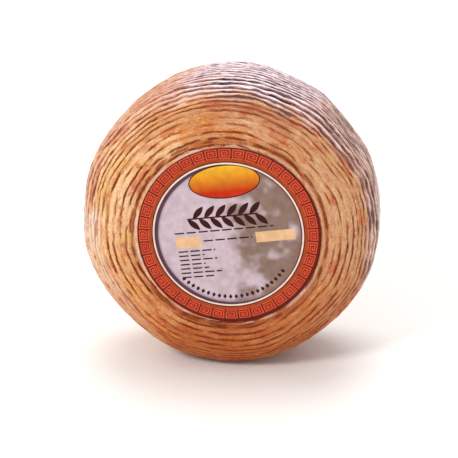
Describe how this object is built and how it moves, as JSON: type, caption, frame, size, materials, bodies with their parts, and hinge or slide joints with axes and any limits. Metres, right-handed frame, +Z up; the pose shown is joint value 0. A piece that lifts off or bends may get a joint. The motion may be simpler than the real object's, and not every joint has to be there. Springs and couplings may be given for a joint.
{
  "type": "pecorino cheese wheel",
  "caption": "Whole basket-pressed pecorino wheel with a ridged, oiled rind, standing on its rim, with a round paper label on its front face.",
  "frame": {"origin": "on the floor under the middle of the wheel, at the bottom centre of its box", "axes": "+Z up, the wheel's axis along Y with the label facing -Y, +X to the right when facing the label"},
  "size_m": [0.1989, 0.0941, 0.1992],
  "materials": {
    "oiled_rind": null,
    "printed_paper": "smooth printed paper, brick-red key border round a pale lilac-grey field"
  },
  "bodies": {
    "root": {"cheese_wheel": "oiled_rind", "label": "printed_paper"}
  },
  "joints": []
}
